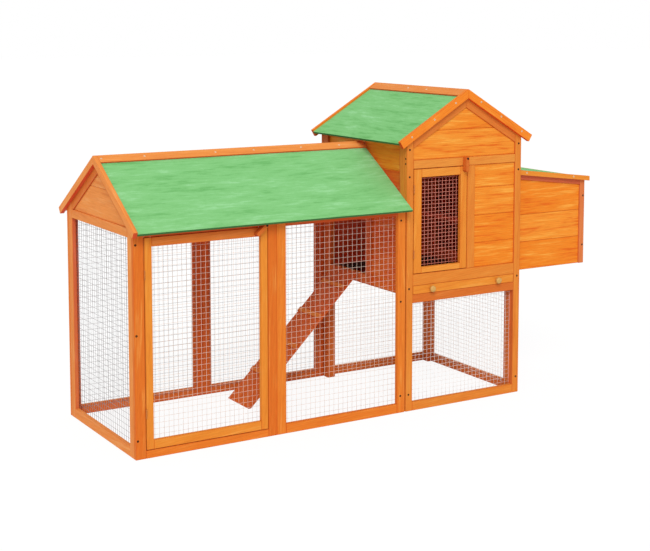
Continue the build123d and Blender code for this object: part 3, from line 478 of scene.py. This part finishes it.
STICK_EASE = 0.0017
cap_fir = stained_fir("pale_stained_fir", (0.85, 0.29, 0.06), (0.92, 0.44, 0.14), (0.72, 0.2, 0.04), 0.6)
batten_fir = stained_fir(
    "stained_fir_battens", (0.78, 0.21, 0.022), (0.86, 0.36, 0.07), (0.66, 0.12, 0.012), 0.5
)
timber("run_end_frame", cap_fir, STICK_EASE, tones=(0.55, 0.15, 0.3, 0.3))
# The fourth stick of each front panel, its head rail, is given painted shade for the shadow under the run's
# eave
timber("run_front_frame", batten_fir, STICK_EASE, tones=(0.15, 0.1, 0.4, 0.2), deep=(0, 0, 0, 0.9))
timber("run_panel_frame", batten_fir, STICK_EASE, tones=(0.5, 0.4, 0.5, 0.2), deep=(0, 0, 0, 0.9))
for part in ("run_rear_left_frame", "run_rear_right_frame", "door_stops"):
    timber(part, batten_fir, STICK_EASE)

# Gables: level fir boards close the run's end under its roof, behind two raking battens that are screwed to
# them. Four more such battens lie on the house's two gables.
frame_fir = stained_fir(
    "stained_fir_house_frames", (0.75, 0.235, 0.03), (0.83, 0.34, 0.06), (0.65, 0.14, 0.016), 0.5
)
timber("run_gable_boards", cap_fir, grain="level", tones=(0.6, 0.7, 0.6, 0.65), joint=0.1)
# The raking battens are given painted shade for the shadow of the barge boards above them
timber("gable_battens", frame_fir, deep=(0.45, 0.45, 0.35, 0.35, 0.35, 0.35))

# Wire nets: galvanised wires about a millimetre thick, a little thicker in the window, welded into a mesh of
# 14 to 20 mm, cut to each panel and stapled to the inner face of its frame. One wire is shown in lit and
# shaded copies, as painted light and painted shade, and painted reddish in the window for the red inside.
# Each mesh as the spaces between its uprights and between its level wires
DOOR_MESH = (0.0172, 0.0188)
WALL_MESH = (0.0186, 0.02)
HOUSE_MESH = (0.0172, 0.0156)
WINDOW_MESH = (0.0157, 0.0135)
WIRE_R = 0.00047
WINDOW_WIRE_R = 0.00068
WIRE_SIDES = 6
WIRE_BENDS = 6
WIRE_SWAY = 0.0003
OUT_SWAY = 0.4
WELD_REACH = 0.95


def wire_tube(spots, faces, start, end, side, out, wire_r):
    """One nearly straight wire as a tube, a little out of true between its welds."""
    run = end - start
    first = len(spots)
    for step in range(WIRE_BENDS + 1):
        centre = start + run * (step / WIRE_BENDS)
        if 0 < step < WIRE_BENDS:
            centre = centre + side * chance.uniform(-WIRE_SWAY, WIRE_SWAY)
            centre = centre + out * chance.uniform(-WIRE_SWAY, WIRE_SWAY) * OUT_SWAY
        for k in range(WIRE_SIDES):
            turn = 2 * pi * k / WIRE_SIDES
            spots.append((centre + (side * cos(turn) + out * sin(turn)) * wire_r)[:])
    for step in range(WIRE_BENDS):
        ring = first + step * WIRE_SIDES
        for k in range(WIRE_SIDES):
            after = (k + 1) % WIRE_SIDES
            faces.append((ring + k, ring + after, ring + WIRE_SIDES + after, ring + WIRE_SIDES + k))
    faces.append([first + k for k in reversed(range(WIRE_SIDES))])
    faces.append([first + WIRE_BENDS * WIRE_SIDES + k for k in range(WIRE_SIDES)])


def wire_net(name, material, mesh_size, wire_r):
    """Stands for a CAD net: upright and level wires in two layers that touch where they are welded."""
    low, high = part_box(name)
    size = high - low
    out = Vector((1, 0, 0)) if size.x < size.y else Vector((0, 1, 0))
    side = Vector((0, 1, 0)) if size.x < size.y else Vector((1, 0, 0))
    up = Vector((0, 0, 1))
    wide = size.dot(side) - 2 * wire_r
    tall = size.z - 2 * wire_r
    corner = low + out * (size.dot(out) / 2) + side * wire_r + up * wire_r
    spots, faces = [], []
    columns = round(wide / mesh_size[0])
    lines = round(tall / mesh_size[1])
    for i in range(columns + 1):
        foot = corner + side * (wide * i / columns) - out * wire_r * WELD_REACH
        wire_tube(spots, faces, foot, foot + up * tall, side, out, wire_r)
    for i in range(lines + 1):
        left = corner + up * (tall * i / lines) + out * wire_r * WELD_REACH
        wire_tube(spots, faces, left, left + side * wide, out, up, wire_r)
    mesh = bpy.data.meshes.new(name + "_wires")
    mesh.from_pydata(spots, [], faces)
    mesh.shade_smooth()
    show(name + "_wires", mesh, material, frame["nodes"][name]["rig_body"], "galvanised_wire", name)


SPANGLE_SHEEN = 0.08


def zinc_coat(name, colour, dark, patches, metal, rough):
    """Zinc on steel, mottled by its own crystals, of which so many patches go to a metre."""
    material = bpy.data.materials.new(name)
    material.use_nodes = True
    tree = material.node_tree
    shader = tree.nodes["Principled BSDF"]
    where = node(tree, "TexCoord").outputs["Object"]
    spangle = noise(tree, where, (patches, patches, patches), 2.0, 0.6)
    mottled = mix(tree, between(tree, spangle, 0.35, 0.65), (*dark, 1), (*colour, 1))
    sheen = between(tree, spangle, 0.3, 0.7, rough + SPANGLE_SHEEN, rough - SPANGLE_SHEEN)
    tree.links.new(mottled, shader.inputs["Base Color"])
    tree.links.new(sheen, shader.inputs["Roughness"])
    shader.inputs["Metallic"].default_value = metal
    return material


# Painted light and shade: a bright wire on the front nets, a brighter one on the house's nets, a dark one on
# the nets at the rear and the end, and a reddish pink one in the window for the dark red inside of the house
# round it
bright_wire = zinc_coat("galvanised_wire", (0.89, 0.72, 0.6), (0.77, 0.61, 0.5), 90, 0.1, 0.5)
shaded_wire = zinc_coat("galvanised_wire_painted_shade", (0.4, 0.39, 0.39), (0.3, 0.29, 0.29), 90, 0.2, 0.6)
window_wire = zinc_coat("galvanised_wire_painted_reddish", (0.9, 0.34, 0.25), (0.84, 0.29, 0.21), 90, 0.1, 0.5)
lit_wire = zinc_coat("galvanised_wire_painted_light", (0.97, 0.92, 0.87), (0.88, 0.83, 0.78), 90, 0.1, 0.5)
wire_net("run_door_net", bright_wire, DOOR_MESH, WIRE_R)
wire_net("run_panel_net", bright_wire, WALL_MESH, WIRE_R)
for part in ("house_front_net", "house_rear_net", "house_right_net"):
    wire_net(part, lit_wire, HOUSE_MESH, WIRE_R)
for part in ("run_end_net", "run_rear_left_net", "run_rear_right_net"):
    wire_net(part, shaded_wire, WALL_MESH, WIRE_R)
wire_net("house_door_net", window_wire, WINDOW_MESH, WINDOW_WIRE_R)

# House carcass: four square corner posts on the ground, with a front and a rear frame of battens and a
# rail at floor height, screwed up like the run's panels.
# The fourth stick, the rail under the tray, is given a deep tone and painted shade for the shadow of the
# tray's front
FRONT_TONES = (0.5, 0.5, 0.5, 0.05, 0.5, 1.0, 0.5)
timber("house_front_frame", frame_fir, STICK_EASE, tones=FRONT_TONES, deep=(0, 0, 0, 0.3))
for part in ("house_corner_posts", "house_rear_frame", "house_right_rails", "pop_hole_frame"):
    timber(part, frame_fir, STICK_EASE)

# House walls: tongue-and-groove fir boards, laid level behind the frames, so that a fine V shows at each
# joint.
BOARD_EASE = 0.0008
board_fir = stained_fir("stained_fir_boards", (0.85, 0.24, 0.016), (0.93, 0.41, 0.06), (0.74, 0.13, 0.008))
for part in ("house_front_boards", "house_rear_boards", "house_left_boards", "house_right_boards"):
    timber(part, board_fir, BOARD_EASE, "level", joint=0.3)

# Roofs: thin board decks on a ridge beam, covered with green mineral felt, with barge boards on the
# gables and two cap boards along each ridge.
barge_fir = stained_fir(
    "stained_fir_barges", (0.88, 0.23, 0.016), (0.93, 0.36, 0.05), (0.74, 0.14, 0.01), 0.7
)
for part in ("run_roof_decks", "house_roof_decks", "ridge_beams"):
    timber(part, batten_fir)
timber("run_barge_boards", cap_fir)
timber("run_ridge_caps", cap_fir)
timber("house_ridge_caps", cap_fir, tones=(0.25, 0.4))
timber("house_barge_boards", barge_fir)

FELT_GREEN = (0.225, 0.57, 0.205)
FELT_PALE = (0.32, 0.68, 0.315)
FELT_DEEP = (0.14, 0.44, 0.125)
FELT_EDGE = (0.05, 0.16, 0.045)
roof_felt = bpy.data.materials.new("mineral_felt")
roof_felt.use_nodes = True
felt_tree = roof_felt.node_tree
felt_shader = felt_tree.nodes["Principled BSDF"]
felt_place = node(felt_tree, "Attribute", attribute_name="grain").outputs["Vector"]
felt_rise = node(felt_tree, "SeparateXYZ", {0: node(felt_tree, "TexCoord").outputs["Normal"]}).outputs["Z"]
rolled = noise(felt_tree, felt_place, (12, 105, 105), 6.0, 0.74)
cloud = noise(felt_tree, felt_place, (4, 18, 18), 4.0, 0.7)
grit = noise(felt_tree, felt_place, (600, 600, 600), 1.0, 0.5)
mottle = node(felt_tree, "Math", {0: rolled, 1: cloud}, operation="ADD").outputs[0]
felt_colour = mix(felt_tree, between(felt_tree, mottle, 1.0, 1.29), (*FELT_GREEN, 1), (*FELT_PALE, 1))
felt_colour = mix(felt_tree, between(felt_tree, mottle, 1.0, 0.71), felt_colour, (*FELT_DEEP, 1))
felt_colour = mix(felt_tree, between(felt_tree, grit, 0.55, 0.75, 0.0, 0.35), felt_colour, (*FELT_DEEP, 1))
felt_colour = mix(felt_tree, between(felt_tree, grit, 0.42, 0.25, 0.0, 0.35), felt_colour, (*FELT_PALE, 1))
felt_colour = mix(felt_tree, between(felt_tree, felt_rise, 0.75, 0.6), felt_colour, (*FELT_EDGE, 1))
felt_bump = node(felt_tree, "Bump", {"Height": grit, "Strength": 0.5, "Distance": 0.0004})
felt_tree.links.new(felt_colour, felt_shader.inputs["Base Color"])
felt_tree.links.new(felt_bump.outputs[0], felt_shader.inputs["Normal"])
felt_shader.inputs["Roughness"].default_value = 0.9
felt_shader.inputs["Specular IOR Level"].default_value = 0.2
FELT_EASE = 0.0004
timber("run_roof_felts", roof_felt, FELT_EASE, (1, 0, 0), "roof_felt")
timber("house_roof_felts", roof_felt, FELT_EASE, (0, 1, 0), "roof_felt")

# Doors: the run's door and the house's window door, each four battens round a net, hung on butt hinges in
# the gap and held shut by a wooden turn button on a screw. The hinges were stained with the wood.
door_fir = stained_fir("stained_fir_doors", (0.8, 0.27, 0.03), (0.88, 0.38, 0.07), (0.7, 0.17, 0.016), 0.6)
# The door's top rail is given painted shade for the shadow under the run's eave
timber("run_door_frame", door_fir, STICK_EASE, tones=(0.5, 0.5, 0.4, 0.4), deep=(0, 0, 0, 0.6))
timber("house_door_frame", door_fir, STICK_EASE)
button_fir = stained_fir(
    "stained_fir_buttons", (0.64, 0.145, 0.02), (0.72, 0.21, 0.04), (0.5, 0.085, 0.01), 0.6
)
for part in ("run_latch", "house_latch"):
    timber(part, button_fir)


def give_finish(name, material):
    """Gives a CAD node that is shown as it stands its material."""
    shown = frame["nodes"][name].data
    shown.materials.clear()
    shown.materials.append(material)


hinge_zinc = zinc_coat("stained_hinge_steel", (0.6, 0.19, 0.03), (0.5, 0.14, 0.02), 220, 0.1, 0.5)
for part in (
    "hinge_plates",
    "run_door_hinge_leaves",
    "house_door_hinge_leaves",
    "nest_lid_hinge_leaves",
    "ramp_hinge_leaves",
):
    give_finish(part, hinge_zinc)

# Screws: dark countersunk heads through the stiles into the rails, two to four to a stick, and bright
# zinc ones along the barge boards, the caps and the lid's trim. Dark ones hold the turn buttons too.
OUT_FRONT = Vector((0, -1, 0))
OUT_LEFT = Vector((-1, 0, 0))
# Insets from the left and right edges of the walls and from the posts' and the nest's corners, and heights
HOUSE_STILE_INSETS = (0.012, 0.0125)
HOUSE_STILE_HEIGHTS = (0.061, 0.447, 0.849, 0.946)
RUN_STILE_INSETS = (0.0076, 0.0195)
RUN_STILE_HEIGHTS = (0.062, 0.405, 0.697)
POST_SCREW_INSET = 0.0083
POST_SCREW_HEIGHTS = (0.914, 0.896)
NEST_SCREW_INSET = 0.0076
NEST_SCREW_HEIGHTS = (0.723, 0.53)
# Turned profiles as pairs of height and radius
DARK_HEAD = ((0.0, 0.0038), (0.0003, 0.0034), (0.0003, 0.0019), (-0.0008, 0.0008))
BRIGHT_HEAD = ((0.0, 0.0034), (0.0005, 0.0031), (0.0008, 0.0018), (-0.0006, 0.0009))
TURNED_SIDES = 18


def turned(name, feet, out, profile, material, body, slot, *stands_for):
    """Like pieces turned about an axis, each a profile of (height, radius) that rises from its own foot."""
    side = out.orthogonal().normalized()
    third = out.cross(side)
    spots, faces = [], []
    for foot in feet:
        first = len(spots)
        for high, radius in profile:
            for k in range(TURNED_SIDES):
                turn = 2 * pi * k / TURNED_SIDES
                spots.append((foot + out * high + (side * cos(turn) + third * sin(turn)) * radius)[:])
        for ring in range(len(profile) - 1):
            lower = first + ring * TURNED_SIDES
            upper = lower + TURNED_SIDES
            for k in range(TURNED_SIDES):
                after = (k + 1) % TURNED_SIDES
                faces.append((lower + k, lower + after, upper + after, upper + k))
        faces.append([first + k for k in reversed(range(TURNED_SIDES))])
        faces.append([first + (len(profile) - 1) * TURNED_SIDES + k for k in range(TURNED_SIDES)])
    mesh = bpy.data.meshes.new(name)
    mesh.from_pydata(spots, [], faces)
    return show(name, mesh, material, body, slot, *stands_for)


house_low, house_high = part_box("house_front_frame")
run_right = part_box("run_panel_frame")[1].x
house_stiles = (house_low.x + HOUSE_STILE_INSETS[0], house_high.x - HOUSE_STILE_INSETS[1])
run_stiles = (run_right - RUN_STILE_INSETS[1], end_low.x + RUN_STILE_INSETS[0])
dark_steel = zinc_coat("dark_screw_steel", (0.04, 0.022, 0.015), (0.025, 0.014, 0.01), 400, 0.0, 0.7)
dark_steel.node_tree.nodes["Principled BSDF"].inputs["Specular IOR Level"].default_value = 0.1
heads = [Vector((x, house_low.y, z)) for x in house_stiles for z in HOUSE_STILE_HEIGHTS]
heads += [Vector((x, house_low.y, z)) for x in run_stiles for z in RUN_STILE_HEIGHTS]
turned("stile_screws", heads, OUT_FRONT, DARK_HEAD, dark_steel, "coop", "zinc_steel")
post_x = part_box("house_corner_posts")[0].x
heads = [Vector((post_x, house_low.y + POST_SCREW_INSET, z)) for z in POST_SCREW_HEIGHTS]
turned("post_screws", heads, OUT_LEFT, DARK_HEAD, dark_steel, "coop", "zinc_steel")
stile_low, stile_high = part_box("nest_frame")
heads = [Vector((stile_high.x - NEST_SCREW_INSET, stile_low.y, z)) for z in NEST_SCREW_HEIGHTS]
turned("nest_screws", heads, OUT_FRONT, DARK_HEAD, dark_steel, "coop", "zinc_steel")
give_finish("latch_screws", dark_steel)


def upper_slope(name):
    """The normal of the broad upper face of a CAD node's first stick, and its points over any x and y."""
    solid = eased(sticks_of(name)[0], PLANE_GAP)[0]
    face = max((f for f in solid.faces if f.normal.z > TURNED_UP), key=lambda f: f.calc_area())
    middle = face.calc_center_median()
    out = face.normal.copy()
    solid.free()

    def point_over(x, y):
        return Vector((x, y, middle.z - ((x - middle.x) * out.x + (y - middle.y) * out.y) / out.z))

    return out, point_over


# Reaches from the house's middle, the trim's two ends and the caps' left or front ends, and drops from
# the plane of the felt
BARGE_SCREWS = (0.057, 0.15, 0.247)
BARGE_SCREW_DROP = 0.0075
LID_SCREW_INSETS = (0.041, 0.082)
LID_SCREW_DROP = 0.002
RUN_CAP_SCREWS = (0.009, 0.164, 0.43, 0.58, 0.773, 0.934)
HOUSE_CAP_SCREWS = (0.223, 0.343)
bright_zinc = zinc_coat("bright_screw_zinc", (0.86, 0.72, 0.52), (0.72, 0.58, 0.4), 300, 0.2, 0.4)
up = Vector((0, 0, 1))
barge_low, barge_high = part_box("house_barge_boards")
house_middle = (barge_low.x + barge_high.x) / 2
over_roof = upper_slope("house_roof_felts")[1]
heads = []
for reach in BARGE_SCREWS:
    left = over_roof(house_middle - reach, barge_low.y) - up * BARGE_SCREW_DROP
    heads += [left, left + Vector((2 * reach, 0, 0))]
turned("barge_screws", heads, OUT_FRONT, BRIGHT_HEAD, bright_zinc, "coop", "zinc_steel")
trim_low, trim_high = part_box("nest_lid_trim")
over_lid = upper_slope("nest_lid_felt")[1]
heads = [
    over_lid(x, trim_low.y) - up * LID_SCREW_DROP
    for x in (trim_low.x + LID_SCREW_INSETS[0], trim_high.x - LID_SCREW_INSETS[1])
]
turned("lid_screws", heads, OUT_FRONT, BRIGHT_HEAD, bright_zinc, "nest_lid", "zinc_steel")
out, over_cap = upper_slope("run_ridge_caps")
cap_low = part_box("run_ridge_caps")[0]
heads = [over_cap(cap_low.x + reach, cap_low.y / 2) for reach in RUN_CAP_SCREWS]
turned("run_ridge_caps_screws", heads, out, BRIGHT_HEAD, bright_zinc, "coop", "zinc_steel")
out, over_cap = upper_slope("house_ridge_caps")
cap_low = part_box("house_ridge_caps")[0]
heads = [over_cap((cap_low.x + house_middle) / 2, cap_low.y + reach) for reach in HOUSE_CAP_SCREWS]
turned("house_ridge_caps_screws", heads, out, BRIGHT_HEAD, bright_zinc, "coop", "zinc_steel")

# Droppings tray: a folded galvanised pan behind a wooden front, which slides out on two runners and has
# two turned knobs of pale beech.
timber("tray_front", door_fir, STICK_EASE, tones=(0.6,))
timber("tray_runners", batten_fir)
# The pan's zinc is painted a dark reddish brown: painted shade and a painted reflection of the red inside of
# the house
shaded_pan_zinc = zinc_coat("galvanised_tray_steel_painted_shade", (0.34, 0.2, 0.16), (0.26, 0.145, 0.115), 60, 1.0, 0.5)
give_finish("tray_pan", shaded_pan_zinc)
KNOB_PROFILE = (
    (0.0, 0.0064),
    (0.0035, 0.0058),
    (0.006, 0.0062),
    (0.0082, 0.0094),
    (0.0105, 0.0116),
    (0.0135, 0.012),
    (0.0163, 0.0107),
    (0.018, 0.0076),
    (0.019, 0.0032),
)
BEECH_DEEP = (0.56, 0.29, 0.06, 1)
BEECH_PALE = (0.68, 0.4, 0.1, 1)
beech = bpy.data.materials.new("pale_beech")
beech.use_nodes = True
beech_tree = beech.node_tree
beech_shader = beech_tree.nodes["Principled BSDF"]
beech_place = node(beech_tree, "TexCoord").outputs["Object"]
flecks = noise(beech_tree, beech_place, (900, 120, 900), 2.0, 0.6)
beech_colour = mix(beech_tree, between(beech_tree, flecks, 0.35, 0.7), BEECH_DEEP, BEECH_PALE)
beech_tree.links.new(beech_colour, beech_shader.inputs["Base Color"])
beech_shader.inputs["Roughness"].default_value = 0.45
knob_low, knob_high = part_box("tray_knobs")
tray_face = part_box("tray_front")[0].y
knob_r = (knob_high.z - knob_low.z) / 2
knob_z = knob_low.z + knob_r
knob_feet = [Vector((x, tray_face, knob_z)) for x in (knob_low.x + knob_r, knob_high.x - knob_r)]
knobs = turned("beech_knobs", knob_feet, OUT_FRONT, KNOB_PROFILE, beech, "tray", "pale_beech", "tray_knobs")
knobs.data.shade_smooth()

# Perch and ramp: a round pole across the house for the hens to sit on, and a hinged board that leads from
# the run up to the pop hole, with cleats nailed across it.
# The perch and the ramp are given painted shade all over, for the dark inside of the house and the shade
# under the run's roof
timber("house_perch", batten_fir, deep=(1.9,))
timber("ramp_board", batten_fir, deep=(1.0,))
timber("ramp_cleats", batten_fir, grain=(0, 1, 0))

# Nest box: boarded walls between corner stiles, a floor and a divider, under a sloped lid of board and
# felt with a trim round its three free edges.
nest_fir = stained_fir(
    "stained_fir_nest_frame", (0.7, 0.19, 0.05), (0.78, 0.27, 0.08), (0.58, 0.13, 0.03), 0.5
)
timber("nest_walls", board_fir, BOARD_EASE, "level", joint=0.5)
timber("nest_floor", board_fir)
timber("nest_divider", board_fir)
# The nest frame's sticks are given painted shade, most on the second and fourth; the top rail's stands for
# the shadow of the lid's trim
timber("nest_frame", nest_fir, deep=(0.1, 0.7, 0.1, 0.7))
timber("nest_lid_board", batten_fir)
timber("nest_lid_felt", roof_felt, FELT_EASE, (0, 1, 0), "roof_felt")
timber("nest_lid_trim", door_fir, tones=(0.5, 0.5, 0.5))
